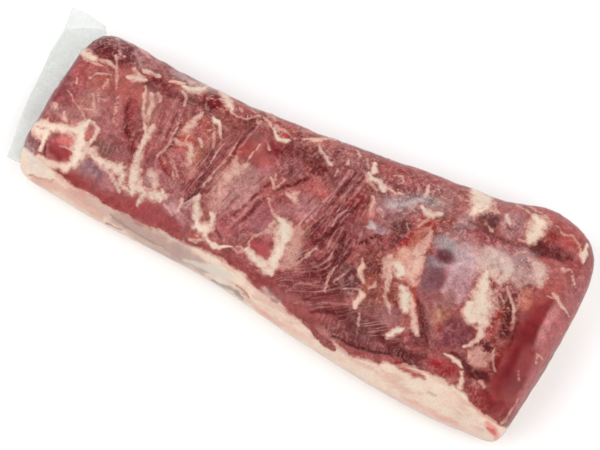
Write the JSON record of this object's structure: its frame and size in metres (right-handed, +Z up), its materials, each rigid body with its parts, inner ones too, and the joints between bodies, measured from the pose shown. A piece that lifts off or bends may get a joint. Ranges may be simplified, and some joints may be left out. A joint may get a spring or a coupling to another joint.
{
  "type": "beef striploin",
  "caption": "Whole boneless beef striploin lying on its fat cap, boned side up, packed tight in a clear bag whose loose end stands out past the rib end.",
  "frame": {"origin": "middle of the underside of the bounding box, on the surface the loin lies on", "axes": "+X along the loin, from the narrow rib end to the wide rump end; +Y across it, towards the chine side, away from the edge with the wrapped-up fat; +Z up through the loin, from the fat cap to the boned side"},
  "size_m": [0.5514, 0.2194, 0.0802],
  "materials": {
    "lean": "moist raw lean beef under clear film, darker in its hollows, with cream fat and pale silver skin",
    "fat": "smooth raw beef fat, cream to pale pink, under clear film",
    "film": "thin clear shrink film, glossy, slightly milky where it lies double"
  },
  "bodies": {
    "root": {"lean": "lean", "fat_cap": "fat", "bag_end": "film"}
  },
  "joints": []
}
